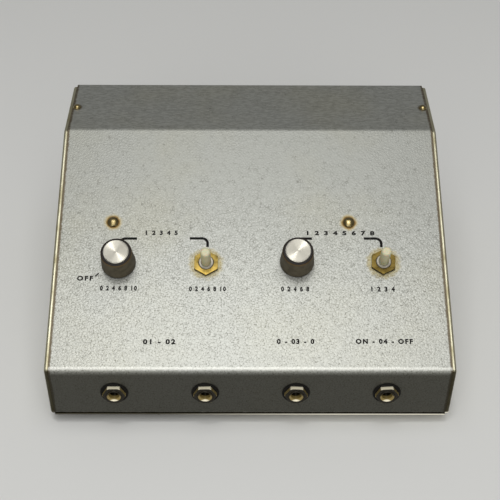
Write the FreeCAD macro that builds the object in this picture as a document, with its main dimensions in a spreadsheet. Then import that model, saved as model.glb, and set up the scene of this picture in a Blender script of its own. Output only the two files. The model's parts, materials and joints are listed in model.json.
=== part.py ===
"""Spring reverb unit: a sloping desk case of folded steel with four controls and four jacks.

The frame is millimetres with +Z up. X = 0 is the middle of the width, Y = 0 the middle of the
depth between the jack mouths and the back, and Z = 0 the surface that the rubber feet stand on.
"""
import FreeCAD, Part
import math
import os
import re

import Sketcher

Vector = FreeCAD.Vector
DOC = FreeCAD.newDocument("spring_reverb_unit")

# ---------------------------------------------------------------------------
# Driving dimensions, in millimetres and degrees
# ---------------------------------------------------------------------------

SIZES = {
    # folded steel case
    "case_width": 254.0,
    "case_depth": 216.0,
    "front_height": 40.0,
    "top_depth": 58.0,
    "panel_slope": 23.9,
    "case_sheet": 1.5,
    "cover_width": 248.0,
    "front_bend": 4.2,
    "top_bend": 6.5,
    "rear_bend": 3.2,
    "tray_bend": 1.6,
    "flange_depth": 12.0,
    "lip_depth": 14.0,
    "lip_half_width": 114.5,
    # rubber feet and the screws of the case
    "foot_height": 8.0,
    "foot_radius": 8.0,
    "foot_inset": 18.0,
    "case_screw_radius": 1.5,
    "case_screw_head": 2.7,
    "top_rivet_inset": 6.0,
    "top_rivet_back": 31.4,
    "top_rivet_head": 2.75,
    "base_screw_inset": 52.0,
    # controls
    "control_pitch": 56.6,
    "control_shift": 0.2,
    "control_rise": 73.8,
    "bush_radius": 4.75,
    "bush_proud": 2.8,
    "shaft_radius": 3.175,
    "shaft_clearance": 0.05,
    "shaft_proud": 15.0,
    "bare_shaft_proud": 18.5,
    "shaft_tip": 1.6,
    "shaft_groove": 0.6,
    "can_radius": 12.0,
    "can_depth": 10.2,
    "can_wall": 0.8,
    "lock_washer": 0.6,
    "wafer_sheet": 1.2,
    "control_nut_flats": 15.0,
    "control_nut_height": 2.0,
    "switch_depth": 11.0,
    "switch_tag": 6.0,
    # knobs
    "knob_base_radius": 11.0,
    "knob_top_radius": 9.75,
    "knob_gap": 1.0,
    "knob_top": 16.7,
    "knob_recess_radius": 9.3,
    "knob_recess_top": 4.5,
    "knob_cap_radius": 8.1,
    "knob_cap_seat": 16.0,
    "knob_cap_sheet": 1.6,
    "insert_radius": 5.0,
    "grub_radius": 1.5,
    "grub_height": 9.0,
    "grub_length": 6.0,
    # jacks
    "jack_height": 21.2,
    "jack_reach": 3.5,
    "jack_bore": 3.2,
    "jack_mouth": 4.25,
    "jack_sleeve": 6.0,
    "jack_nut_flats": 12.7,
    "jack_nut_height": 2.4,
    "jack_washer_radius": 8.6,
    "jack_washer_sheet": 0.7,
    "jack_frame_sheet": 1.5,
    "jack_frame_half": 7.0,
    "jack_frame_length": 30.0,
    "jack_arm_height": 10.5,
    "jack_stack_start": 5.0,
    "jack_stack_end": 12.0,
    "leaf_sheet": 0.4,
    "leaf_width": 5.0,
    "leaf_length": 16.0,
    # spring line under the panel
    "tank_rise": 102.2,
    "tank_shift": -12.6,
    "tank_bolt_span": 153.8,
    "tank_length": 176.0,
    "tank_width": 28.0,
    "tank_depth": 20.0,
    "tank_sheet": 1.0,
    "tank_bolt_radius": 2.0,
    "tank_bolt_head": 3.7,
    "grommet_height": 4.0,
    "grommet_radius": 5.5,
    "transducer_span": 124.0,
    "spring_radius": 2.2,
    "spring_bore": 1.7,
    "spring_offset": 5.5,
    # circuit board
    "board_length": 100.0,
    "board_width": 55.0,
    "board_sheet": 1.6,
    "board_shift": -46.0,
    "board_back": 168.0,
    "pillar_height": 10.0,
    "pillar_radius": 3.0,
    "pillar_inset": 5.0,
    # battery
    "battery_length": 66.0,
    "battery_width": 52.0,
    "battery_height": 81.0,
    "battery_shift": 70.0,
    "battery_back": 176.0,
    "strap_sheet": 1.0,
    "strap_width": 16.0,
    "strap_foot": 12.0,
    # hook-up wire
    "wire_radius": 0.8,
}

CONTROL_COLUMNS = (1, 2, 3, 4)
KNOB_COLUMNS = (1, 3)
# the control holes are drilled by hand: how far each stands off its column and row, x and rise
HOLE_OFFSETS = {1: (0.4, -0.8), 2: (-0.2, -1.1), 3: (1.4, 0.2), 4: (0.2, -0.3)}
NUT_TURNS = {1: 0.0, 2: 0.0, 3: 0.0, 4: -4.0}
JACK_NUT_TURNS = {1: 30.0, 2: 32.0, 3: 27.0, 4: 35.0}

# formulas that several pieces share, made of the names in the sheet
FRONT_Y = "(jack_reach - case_depth) / 2"
REAR_HEIGHT = "(front_height + (case_depth - top_depth) * tan(panel_slope))"
CAN_FACE = "(case_sheet + lock_washer)"


def make_sheet():
    """Writes the driving dimensions into the spreadsheet, one row each with its alias."""
    sheet = DOC.addObject("Spreadsheet::Sheet", "Sizes")
    for row, (name, size) in enumerate(SIZES.items(), 1):
        sheet.set(f"A{row}", name)
        sheet.set(f"B{row}", str(size))
        sheet.setAlias(f"B{row}", name)
    DOC.recompute()
    return sheet


SHEET = make_sheet()
NODES = {}

# ---------------------------------------------------------------------------
# Formulas, placements and sketches
# ---------------------------------------------------------------------------


def formula(text):
    """Writes a formula of size names as an expression on the sheet."""
    def name_in_sheet(match):
        return "Sizes." + match[0] if match[0] in SIZES else match[0]
    return re.sub(r"[a-z_]+", name_in_sheet, str(text))


def number(text):
    """The value that a formula has now."""
    return float(SHEET.evalExpression(formula(text)))


def bind(thing, prop, text):
    thing.setExpression(prop, formula(text))


def place(thing, spot, tilt="0", turn="0"):
    """Binds a placement: tilted about X, and turned about its own Z before that."""
    tilt_angle, turn_angle = number(tilt), number(turn)
    leaning = FreeCAD.Rotation(Vector(1, 0, 0), tilt_angle)
    turned = FreeCAD.Rotation(Vector(0, 0, 1), turn_angle)
    thing.Placement = FreeCAD.Placement(Vector(*map(number, spot)), leaning * turned)
    for axis, text in zip("xyz", spot):
        bind(thing, "Placement.Base." + axis, text)
    if turn_angle == 0.0 and tilt_angle != 0.0:
        bind(thing, "Placement.Rotation.Angle", tilt)


def in_case(x, back, up):
    """A point counted from the lower front edge of the case."""
    return (x, f"{FRONT_Y} + ({back})", f"foot_height + ({up})")


def on_panel(x, rise, out="0"):
    """A point of the sloping panel: rise up the slope from the front bend, out along its normal."""
    back = f"({rise}) * cos(panel_slope) - ({out}) * sin(panel_slope)"
    up = f"front_height + ({rise}) * sin(panel_slope) + ({out}) * cos(panel_slope)"
    return in_case(x, back, up)


def column(number_of_column):
    """X of one of the four columns of controls and jacks."""
    return f"control_shift + ({number_of_column} - 2.5) * control_pitch"


def polygon(*points):
    return ("polygon", points)


def circle(x, y, radius):
    return ("circle", (x, y, radius))


def rectangle(left, low, right, high):
    return polygon((left, low), (right, low), (right, high), (left, high))


def hexagon(flats, turn="0"):
    """A hexagon about the origin with a corner on +Y before it is turned."""
    corner = f"({flats}) / sqrt(3)"
    angles = [f"({turn}) + {90 + 60 * step}" for step in range(6)]
    return polygon(*[(f"{corner} * cos({angle})", f"{corner} * sin({angle})") for angle in angles])


def fix_point(sketch, shape_index, point_index, x, y):
    """Ties one point of a sketch to its origin with a formula each way."""
    for kind, text, axis in (("DistanceX", x, -2), ("DistanceY", y, -1)):
        size = number(text)
        if abs(size) < 1e-9:
            sketch.addConstraint(Sketcher.Constraint("PointOnObject", shape_index, point_index, axis))
        else:
            tie = Sketcher.Constraint(kind, -1, 1, shape_index, point_index, size)
            bind(sketch, f"Constraints[{sketch.addConstraint(tie)}]", text)


def draw_polygon(sketch, points):
    corners = [Vector(number(x), number(y), 0) for x, y in points]
    count = len(corners)
    first = sketch.GeometryCount
    for step in range(count):
        sketch.addGeometry(Part.LineSegment(corners[step], corners[(step + 1) % count]), False)
    for step in range(count):
        follower = first + (step + 1) % count
        sketch.addConstraint(Sketcher.Constraint("Coincident", first + step, 2, follower, 1))
    for step, (x, y) in enumerate(points):
        fix_point(sketch, first + step, 1, x, y)


def draw_circle(sketch, x, y, radius):
    centre = Vector(number(x), number(y), 0)
    index = sketch.addGeometry(Part.Circle(centre, Vector(0, 0, 1), number(radius)), False)
    fix_point(sketch, index, 3, x, y)
    tie = sketch.addConstraint(Sketcher.Constraint("Radius", index, number(radius)))
    bind(sketch, f"Constraints[{tie}]", radius)


def make_sketch(body, name, plane, loops, start="0", lean=None):
    """Draws closed loops on a plane of the body.

    start lifts the sketch along the plane's normal. lean is ((x, y, z), angle): it puts the
    sketch of the XY plane at that point and tilts it about X.
    """
    sketch = body.newObject("Sketcher::SketchObject", name)
    role = plane + "_Plane"
    sketch.AttachmentSupport = [(part, "") for part in body.Origin.OriginFeatures if part.Role == role]
    sketch.MapMode = "FlatFace"
    if lean:
        spot, angle = lean
        tilted = FreeCAD.Rotation(Vector(1, 0, 0), number(angle))
        sketch.AttachmentOffset = FreeCAD.Placement(Vector(*map(number, spot)), tilted)
        for axis, text in zip("xyz", spot):
            bind(sketch, "AttachmentOffset.Base." + axis, text)
        bind(sketch, "AttachmentOffset.Rotation.Angle", angle)
    elif start != "0":
        bind(sketch, "AttachmentOffset.Base.z", start)
    for kind, shape in loops:
        if kind == "circle":
            draw_circle(sketch, *shape)
        else:
            draw_polygon(sketch, shape)
    return sketch


# ---------------------------------------------------------------------------
# Features
# ---------------------------------------------------------------------------


def new_body(label):
    body = DOC.addObject("PartDesign::Body", label + "_form")
    body.Label = label
    return body


def pad(body, name, plane, loops, length, both_ways=False, **where):
    feature = body.newObject("PartDesign::Pad", name)
    feature.Profile = make_sketch(body, name + "_outline", plane, loops, **where)
    feature.SideType = "Symmetric" if both_ways else "One side"
    bind(feature, "Length", length)
    DOC.recompute()
    return feature


def pocket(body, name, plane, loops, length, both_ways=True, flip=False, **where):
    """Cuts a pocket and makes sure that it took material away."""
    volume = body.Shape.Volume
    feature = body.newObject("PartDesign::Pocket", name)
    feature.Profile = make_sketch(body, name + "_outline", plane, loops, **where)
    feature.SideType = "Symmetric" if both_ways else "One side"
    feature.Reversed = flip
    bind(feature, "Length", length)
    DOC.recompute()
    if body.Shape.Volume > volume - 1e-6:
        raise RuntimeError(f"{body.Label}: {name} cuts nothing")
    return feature


def turn(body, name, points, kind="PartDesign::Revolution"):
    """Revolves a profile of (radius, height) points about the body's Z axis."""
    feature = body.newObject(kind, name)
    sketch = make_sketch(body, name + "_outline", "XZ", [polygon(*points)])
    feature.Profile = sketch
    feature.ReferenceAxis = (sketch, ["V_Axis"])
    feature.Angle = 360
    DOC.recompute()
    return feature


def fillet(body, name, feature, radius, chosen):
    """Rounds the edges of a feature that the test chosen(edge) picks."""
    edges = feature.Shape.Edges
    names = [f"Edge{index}" for index, edge in enumerate(edges, 1) if chosen(edge)]
    if not names:
        raise RuntimeError(f"{body.Label}: {name} finds no edge")
    rounded = body.newObject("PartDesign::Fillet", name)
    rounded.Base = (feature, names)
    bind(rounded, "Radius", radius)
    DOC.recompute()
    return rounded


def keep(thing, label=None):
    """Registers a finished sub-part under the name of its file."""
    if label:
        thing.Label = label
    NODES[thing.Label] = thing
    return thing


def group(label, copies):
    """One node of separate solids: copies of forms, each a (form, spot, tilt, turn)."""
    links = []
    for step, (form, spot, tilt, turned) in enumerate(copies, 1):
        link = DOC.addObject("App::Link", f"{label}_{step}")
        link.LinkedObject = form
        link.LinkTransform = False
        place(link, spot, tilt, turned)
        links.append(link)
    together = DOC.addObject("Part::Compound", label + "_set")
    together.Links = links
    return keep(together, label)


# ---------------------------------------------------------------------------
# Case
# ---------------------------------------------------------------------------


def slope_corner(drop):
    """Where the slope and the flat top meet, both lowered by the same sheet thickness."""
    back = f"({REAR_HEIGHT} - ({drop}) - front_height + ({drop}) / cos(panel_slope)) / tan(panel_slope)"
    return (back, f"{REAR_HEIGHT} - ({drop})")


def front_corner(drop):
    """Where the front face and the slope meet, both moved inwards by the same thickness."""
    return (drop, f"front_height + ({drop}) * tan(panel_slope) - ({drop}) / cos(panel_slope)")


def is_cross_edge(edge):
    """True for a straight edge that runs across the case, along X."""
    ends = [vertex.Point for vertex in edge.Vertexes]
    return len(ends) == 2 and abs(ends[1].x - ends[0].x) > 0.99 * edge.Length


def upper_bends(drop):
    """The three upper corners of the folded case and their bend radii, all moved inwards by drop."""
    return [("front", front_corner(drop), f"front_bend - ({drop})"),
            ("top", slope_corner(drop), f"top_bend - ({drop})"),
            ("rear", (f"case_depth - ({drop})", f"{REAR_HEIGHT} - ({drop})"), f"rear_bend - ({drop})")]


def round_bends(body, feature, bends, side):
    """Rounds the cross edges of a folded sheet. Each bend is (name, (Y, Z) corner, radius)."""
    for name, (y, z), radius in bends:
        corner = Vector(0, number(y), number(z))

        def is_bend(edge):
            point = edge.Vertexes[0].Point
            return is_cross_edge(edge) and Vector(0, point.y, point.z).distanceToPoint(corner) < 0.01
        feature = fillet(body, f"{side}_{name}_bend", feature, radius, is_bend)
    return feature


def make_cover():
    """The hammered cover: lip, front, slope, flat top, back and rear lip folded from one sheet."""
    low, inner = "case_sheet", "2 * case_sheet"
    outer_bends, inner_bends = upper_bends("0"), upper_bends("case_sheet")
    outside = [("0", low)] + [corner for name, corner, radius in outer_bends] + [("case_depth", low)]
    rear_lip = [("case_depth - lip_depth", low), ("case_depth - lip_depth", inner),
                ("case_depth - case_sheet", inner)]
    inside = [corner for name, corner, radius in reversed(inner_bends)]
    front_lip = [("case_sheet", inner), ("lip_depth", inner), ("lip_depth", low)]
    body = new_body("top_cover")
    sheet = pad(body, "sheet", "YZ", [polygon(*outside, *rear_lip, *inside, *front_lip)],
                "cover_width", both_ways=True)
    lip_bends = [("front_lip", outside[0], "case_sheet"), ("rear_lip", outside[-1], "case_sheet")]
    rounded = round_bends(body, sheet, outer_bends + lip_bends, "outer")
    round_bends(body, rounded, inner_bends, "inner")

    through = "6 * case_sheet"
    panel = (("0", "0", "front_height"), "panel_slope")
    control_holes = [circle(*control_spot(step), "bush_radius") for step in CONTROL_COLUMNS]
    tank_holes = [circle(f"tank_shift + {side} * tank_bolt_span / 2", "tank_rise", "tank_bolt_radius")
                  for side in (-1, 1)]
    pocket(body, "panel_holes", "XY", control_holes + tank_holes, through, lean=panel)
    jack_holes = [circle(column(step), "jack_height", "bush_radius") for step in CONTROL_COLUMNS]
    pocket(body, "jack_holes", "XZ", jack_holes, through)
    pocket(body, "top_holes", "XY", top_rivet_circles(), through, start=REAR_HEIGHT)
    pocket(body, "lip_holes", "XY", base_screw_circles(), "2 * case_sheet", start="1.5 * case_sheet")
    behind = ("case_sheet", "case_depth - case_sheet")
    left_end = rectangle("-cover_width", behind[0], "-lip_half_width", behind[1])
    right_end = rectangle("lip_half_width", behind[0], "cover_width", behind[1])
    pocket(body, "lip_ends", "XY", [left_end, right_end], "4 * lip_depth")
    place(body, in_case("0", "0", "0"))
    return keep(body)


def base_screw_spots():
    """X and distance from the front of the four screws through the floor into the cover's lips."""
    across = "(case_width / 2 - base_screw_inset)"
    return [(f"{side} * {across}", back) for side in (-1, 1)
            for back in ("lip_depth * 0.6", "case_depth - lip_depth * 0.6")]


def top_rivet_circles():
    across = "(case_width / 2 - top_rivet_inset)"
    return [circle(f"{side} * {across}", "case_depth - top_rivet_back", "case_screw_radius")
            for side in (-1, 1)]


def base_screw_circles():
    return [circle(x, back, "case_screw_radius") for x, back in base_screw_spots()]


def foot_spots():
    across = "(case_width / 2 - foot_inset)"
    return [(f"{side} * {across}", back) for side in (-1, 1)
            for back in ("foot_inset", "case_depth - foot_inset")]


def pillar_spots():
    across = "(board_length / 2 - pillar_inset)"
    along = "(board_width / 2 - pillar_inset)"
    return [(f"board_shift + {side} * {across}", f"board_back + {end} * {along}")
            for side in (-1, 1) for end in (-1, 1)]


def strap_spots():
    across = "(battery_length / 2 + strap_sheet + strap_foot / 2)"
    return [(f"battery_shift + {side} * {across}", "battery_back") for side in (-1, 1)]


def make_tray():
    """The base tray: floor, two cheeks, and the flanges turned in all round behind the cover."""
    bends = upper_bends("case_sheet")
    outline = [("case_sheet", "0")] + [corner for name, corner, radius in bends]
    outline += [("case_depth - case_sheet", "0")]
    double = "2 * case_sheet"
    cavity = [(double, "case_sheet"), front_corner(double), slope_corner(double),
              ("case_depth - " + double, f"{REAR_HEIGHT} - {double}"),
              ("case_depth - " + double, "case_sheet")]
    body = new_body("base_tray")
    sharp = pad(body, "outline", "YZ", [polygon(*outline)], "case_width", both_ways=True)
    block = round_bends(body, sharp, bends, "flange")
    half_width = number("case_width / 2")

    def on_cheek(edge):
        return all(abs(abs(vertex.Point.x) - half_width) < 0.01 for vertex in edge.Vertexes) \
            and not is_cross_edge(edge)
    fillet(body, "cheek_bends", block, "tray_bend", on_cheek)
    pocket(body, "cavity", "YZ", [polygon(*cavity)], "case_width - " + double)
    mouth = rectangle("-case_sheet", "case_sheet", "case_depth + case_sheet", REAR_HEIGHT + " + case_sheet")
    pocket(body, "mouth", "YZ", [mouth], "case_width - 2 * flange_depth")
    floor = rectangle("-cover_width / 2", "0", "cover_width / 2", "case_depth")
    pad(body, "floor", "XY", [floor], "case_sheet")

    holes = base_screw_circles()
    holes += [circle(x, back, "case_screw_radius") for x, back in foot_spots()]
    holes += [circle(x, back, "case_screw_radius") for x, back in pillar_spots() + strap_spots()]
    pocket(body, "floor_holes", "XY", holes, "4 * case_sheet")
    pocket(body, "flange_holes", "XY", top_rivet_circles(), "6 * case_sheet", start=REAR_HEIGHT)
    place(body, in_case("0", "0", "0"))
    return keep(body)


def dome_pin(label, head, head_height, shank, length):
    """A pin with a domed head that sits on Z = 0, its shank going down."""
    body = new_body(label)
    blank = turn(body, "blank", [("0", f"-({length})"), (shank, f"-({length})"), (shank, "0"),
                                 (head, "0"), (head, head_height), ("0", head_height)])
    top = number(head_height)
    fillet(body, "dome", blank, f"0.92 * ({head_height})",
           lambda edge: edge.BoundBox.ZMin > top - 0.01 and edge.BoundBox.XLength > 1)
    return body


def screw(label, head, head_height, shank, length):
    """A slotted screw with a domed head."""
    body = dome_pin(label, head, head_height, shank, length)
    slot = [rectangle(f"-1.2 * ({head})", "-0.35", f"1.2 * ({head})", "0.35")]
    pocket(body, "slot", "XY", slot, f"0.9 * ({head_height})", start=head_height)
    return body


def make_case_fasteners():
    """Top rivets, base screws, feet and their screws."""
    rivet = dome_pin("top_rivet", "top_rivet_head", "0.8 * top_rivet_head", "case_screw_radius", "7")
    group("cover_top_rivets", [(rivet, in_case(x, back, REAR_HEIGHT), "0", "0")
                               for kind, (x, back, radius) in top_rivet_circles()])

    base_screw = screw("base_screw", "case_screw_head", "1.8", "case_screw_radius", "7")
    group("cover_base_screws", [(base_screw, in_case(x, back, "0"), "180", "0")
                                for x, back in base_screw_spots()])

    foot = new_body("foot")
    turn(foot, "rubber", [("case_screw_radius", "0"), ("foot_radius", "0"),
                          ("foot_radius", "-0.35 * foot_height"),
                          ("foot_radius * 0.82", "-foot_height"), ("4.2", "-foot_height"),
                          ("4.2", "-0.5 * foot_height"), ("case_screw_radius", "-0.5 * foot_height")])
    group("rubber_feet", [(foot, in_case(x, back, "0"), "0", "0") for x, back in foot_spots()])
    foot_screw = screw("foot_screw", "3.0", "1.8", "case_screw_radius", "0.5 * foot_height + 5")
    group("foot_screws", [(foot_screw, in_case(x, back, "-0.5 * foot_height"), "180", "0")
                          for x, back in foot_spots()])


# ---------------------------------------------------------------------------
# Controls. Each form stands on Z = 0, the outer face of the panel.
# ---------------------------------------------------------------------------


def control_spot(step):
    """X and rise of a control's hole in the panel."""
    across, along = HOLE_OFFSETS[step]
    return f"{column(step)} + ({across})", f"control_rise + ({along})"


def at_control(step, shift="0"):
    """Placement of a piece of one control, moved across by shift: its spot and its tilt."""
    x, rise = control_spot(step)
    return on_panel(f"{x} + ({shift})", rise), "panel_slope"


def hex_nut(label, flats, height, bore, turned="0"):
    """A hexagon nut on Z = 0 with its upper corners turned off."""
    body = new_body(label)
    pad(body, "hexagon", "XY", [hexagon(flats, turned), circle("0", "0", bore)], height)
    corner = f"({flats}) / sqrt(3)"
    turn(body, "corner_chamfer", [(f"0.55 * ({flats})", height), (corner + " + 1", height),
                                  (corner + " + 1", f"({height}) - 1.0")], "PartDesign::Groove")
    return body


def ring(label, inner, outer, low, high):
    body = new_body(label)
    turn(body, "ring", [(inner, low), (outer, low), (outer, high), (inner, high)])
    return body


def make_can(step):
    """The steel can of a potentiometer, a cup with a window for the tags of its wafer."""
    body = new_body(f"pot_can_{step}")
    back = f"-({CAN_FACE} + can_depth)"
    turn(body, "cup", [("can_radius - can_wall", f"-{CAN_FACE}"), ("can_radius", f"-{CAN_FACE}"),
                       ("can_radius", back), ("0", back), ("0", f"{back} + can_wall"),
                       ("can_radius - can_wall", f"{back} + can_wall")])
    window = rectangle("-7", "-can_radius - 1", "7", "-can_radius / 2")
    wafer_middle = f"-({CAN_FACE} + 1 + wafer_sheet / 2)"
    pocket(body, "tag_window", "XY", [window], "2 * wafer_sheet", start=wafer_middle)
    place(body, *at_control(step))
    keep(body)


def make_shaft(step):
    """A nylon control shaft, round, with a clip groove in its bush's mouth and a rounded tip."""
    body = new_body(f"pot_shaft_{step}")
    foot = f"-({CAN_FACE} + can_depth - can_wall - 0.4)"
    groove_floor = "shaft_radius - 0.3"
    groove_top = "bush_proud + 0.2"
    groove_foot = f"{groove_top} - shaft_groove"
    tip = "shaft_proud" if step in KNOB_COLUMNS else "bare_shaft_proud"
    bar = turn(body, "bar", [("0", foot), ("shaft_radius", foot), ("shaft_radius", groove_foot),
                             (groove_floor, groove_foot), (groove_floor, groove_top),
                             ("shaft_radius", groove_top), ("shaft_radius", tip), ("0", tip)])
    top = number(tip)
    fillet(body, "tip", bar, "shaft_tip",
           lambda edge: edge.BoundBox.ZMin > top - 0.01 and edge.BoundBox.XLength > 1)
    place(body, *at_control(step))
    keep(body)


def make_wiper(step):
    """The wiper: a hub pressed on the shaft and an arm whose nib runs on the track."""
    body = new_body(f"pot_wiper_{step}")
    hub_top = f"-({CAN_FACE} + 1 + wafer_sheet + 2.2)"
    turn(body, "hub", [("shaft_radius", hub_top), ("6.5", hub_top), ("6.5", f"{hub_top} - 1.6"),
                       ("shaft_radius", f"{hub_top} - 1.6")])
    arm = rectangle("-1.5", "5", "1.5", "9.5")
    pad(body, "arm", "XY", [arm], "1.6", start=f"{hub_top} - 1.6")
    nib = rectangle("-1", "7.5", "1", "9.5")
    pad(body, "nib", "XY", [nib], "1.9", start=hub_top)
    place(body, *at_control(step))
    keep(body)


def make_pot_fittings():
    """Bushes, washers, nuts, track wafers, tags and the switch of the potentiometers."""
    bore = "shaft_radius + shaft_clearance"
    bush = new_body("bush")
    turn(bush, "bush", [(bore, f"-({CAN_FACE} + 1)"), ("can_radius - can_wall", f"-({CAN_FACE} + 1)"),
                        ("can_radius - can_wall", f"-{CAN_FACE}"), ("bush_radius", f"-{CAN_FACE}"),
                        ("bush_radius", "bush_proud - 0.4"), ("bush_radius - 0.4", "bush_proud"),
                        (bore, "bush_proud")])
    washer = ring("lock_washer", "bush_radius", "8", f"-{CAN_FACE}", "-case_sheet")
    wafer = new_body("wafer")
    pad(wafer, "disc", "XY", [circle("0", "0", "can_radius - can_wall"), circle("0", "0", "4.5")],
        "wafer_sheet", start=f"-({CAN_FACE} + 1 + wafer_sheet)")
    pad(wafer, "tab", "XY", [rectangle("-6.5", "-17", "6.5", "-10")],
        "wafer_sheet", start=f"-({CAN_FACE} + 1 + wafer_sheet)")
    spots = {step: at_control(step) for step in CONTROL_COLUMNS}
    group("pot_bushes", [(bush, *spots[step], "0") for step in CONTROL_COLUMNS])
    group("pot_washers", [(washer, *spots[step], "0") for step in CONTROL_COLUMNS])
    group("pot_tracks", [(wafer, *spots[step], "0") for step in CONTROL_COLUMNS])
    nuts = [(hex_nut(f"pot_nut_{step}", "control_nut_flats", "control_nut_height", "bush_radius",
                     NUT_TURNS[step]), *spots[step], "0") for step in CONTROL_COLUMNS]
    group("pot_nuts", nuts)

    switch = new_body("power_switch")
    back = f"-({CAN_FACE} + can_depth)"
    turn(switch, "housing", [("0", back), ("can_radius - 0.5", back),
                             ("can_radius - 0.5", f"{back} - switch_depth"),
                             ("0", f"{back} - switch_depth")])
    place(switch, *at_control(1))
    keep(switch)

    tag = new_body("solder_tag")
    pad(tag, "tag", "XY", [rectangle("-1.2", "-20", "1.2", "-12.5")],
        "0.5", start=f"-({CAN_FACE} + 1 + wafer_sheet + 0.5)")
    switch_tag = new_body("switch_tag")
    pad(switch_tag, "tag", "XY", [rectangle("-1.2", "-0.25", "1.2", "0.25")],
        "switch_tag", start=f"{back} - switch_depth - switch_tag")
    tags = [(tag, *at_control(step, shift), "0") for step in CONTROL_COLUMNS for shift in (-4.5, 0, 4.5)]
    tags += [(switch_tag, *at_control(1, shift), "0") for shift in (-5, 5)]
    group("solder_tags", tags)


def make_knob(step):
    """A moulded knob with a spun aluminium cap, a brass insert and a grub screw."""
    body = new_body(f"knob_body_{step}")
    shell = turn(body, "moulding", [("knob_recess_radius", "knob_gap"), ("knob_base_radius", "knob_gap"),
                                    ("knob_top_radius", "knob_top"), ("knob_cap_radius", "knob_top"),
                                    ("knob_cap_radius", "knob_cap_seat"),
                                    ("insert_radius", "knob_cap_seat"),
                                    ("insert_radius", "knob_recess_top"),
                                    ("knob_recess_radius", "knob_recess_top")])
    rim, reach = number("knob_top"), number("knob_top_radius") * 2 - 0.1
    fillet(body, "rim", shell, "0.8",
           lambda edge: edge.BoundBox.ZMin > rim - 0.01 and edge.BoundBox.XLength > reach)
    grub_hole = [circle("0", "grub_height", "grub_radius + 0.1")]
    pocket(body, "grub_hole", "XZ", grub_hole, "knob_base_radius + 1", both_ways=False)

    insert = new_body(f"knob_insert_{step}")
    turn(insert, "insert", [("shaft_radius", "knob_recess_top"), ("insert_radius", "knob_recess_top"),
                            ("insert_radius", "knob_cap_seat"), ("shaft_radius", "knob_cap_seat")])
    grub_bore = [circle("0", "grub_height", "grub_radius")]
    pocket(insert, "grub_bore", "XZ", grub_bore, "knob_base_radius", both_ways=False)

    grub = new_body(f"knob_screw_{step}")
    grub_end = "-(shaft_radius + grub_length)"
    pad(grub, "screw", "XZ", grub_bore, "grub_length", start=grub_end)
    pocket(grub, "slot", "XZ", [rectangle("-0.3", "grub_height - 2", "0.3", "grub_height + 2")],
           "2", start=grub_end)

    cap = new_body(f"knob_cap_{step}")
    turn(cap, "disc", [("0", "knob_cap_seat"), ("knob_cap_radius", "knob_cap_seat"),
                       ("knob_cap_radius", "knob_cap_seat + knob_cap_sheet"),
                       ("knob_cap_radius - 0.5", "knob_cap_seat + knob_cap_sheet"),
                       ("0", "knob_cap_seat + knob_cap_sheet - 0.15")])
    for piece in (body, insert, grub, cap):
        place(piece, *at_control(step))
        keep(piece)


# ---------------------------------------------------------------------------
# Jacks. Each form has Z = 0 on the front face, +Z out of the mouth and +Y up.
# ---------------------------------------------------------------------------


def at_jack(step):
    return in_case(column(step), "0", "jack_height"), "90"


def make_jack_frame(step):
    """The bush, front plate and top arm of an open quarter-inch jack."""
    body = new_body(f"jack_frame_{step}")
    plate_back = "-(case_sheet + jack_frame_sheet)"
    turn(body, "bush", [("jack_bore", "-jack_sleeve"), ("bush_radius", "-jack_sleeve"),
                        ("bush_radius", "jack_reach - 0.3"), ("bush_radius - 0.3", "jack_reach"),
                        ("jack_mouth", "jack_reach"),
                        ("jack_bore", "jack_reach - (jack_mouth - jack_bore)")])
    outline = rectangle("-jack_frame_half", "-jack_frame_half", "jack_frame_half",
                        "jack_arm_height + jack_frame_sheet")
    pad(body, "plate", "XY", [outline, circle("0", "0", "bush_radius - 0.2")],
        "jack_frame_sheet", start=plate_back)
    arm = rectangle("-jack_frame_half", "jack_arm_height", "jack_frame_half",
                    "jack_arm_height + jack_frame_sheet")
    pad(body, "arm", "XY", [arm], "jack_frame_length", start="-jack_frame_length - case_sheet")
    place(body, *at_jack(step))
    keep(body)


def make_jack_leaf(step):
    """The tip contact: a leaf that runs back from its stack and dips to meet a plug's tip."""
    body = new_body(f"jack_tip_spring_{step}")
    root = "-(jack_stack_end + 0.1)"
    high, low = "jack_arm_height - 3.4", "2.4"
    bend, tip = f"{root} - 0.68 * leaf_length", f"{root} - leaf_length"
    upper = [(high, root), (high, f"{root} - 0.3 * leaf_length"), (low, bend),
             (f"{low} + 1.8", tip)]
    lower = [(f"{y} - leaf_sheet", z) for y, z in reversed(upper)]
    pad(body, "leaf", "YZ", [polygon(*upper, *lower)], "leaf_width", both_ways=True)
    place(body, *at_jack(step))
    keep(body)


def make_jack_fittings():
    washer = ring("jack_washer", "bush_radius", "jack_washer_radius", "0", "jack_washer_sheet")
    stack = new_body("jack_stack")
    block = rectangle("-4", "jack_arm_height - 4.4", "4", "jack_arm_height")
    pad(stack, "block", "XY", [block], "jack_stack_end - jack_stack_start", start="-jack_stack_end")
    spots = {step: at_jack(step) for step in CONTROL_COLUMNS}
    group("jack_washers", [(washer, *spots[step], "0") for step in CONTROL_COLUMNS])
    group("jack_insulators", [(stack, *spots[step], "0") for step in CONTROL_COLUMNS])
    nuts = []
    for step in CONTROL_COLUMNS:
        nut = hex_nut(f"jack_nut_{step}", "jack_nut_flats", "jack_nut_height", "bush_radius",
                      JACK_NUT_TURNS[step])
        spot = in_case(column(step), "-jack_washer_sheet", "jack_height")
        nuts.append((nut, spot, "90", "0"))
    group("jack_nuts", nuts)


# ---------------------------------------------------------------------------
# Spring line, hung under the panel
# ---------------------------------------------------------------------------


def in_tank(x, out):
    """Placement of a piece of the spring line, x from the middle of its channel."""
    return on_panel(f"tank_shift + ({x})", "tank_rise", out), "panel_slope"


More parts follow.
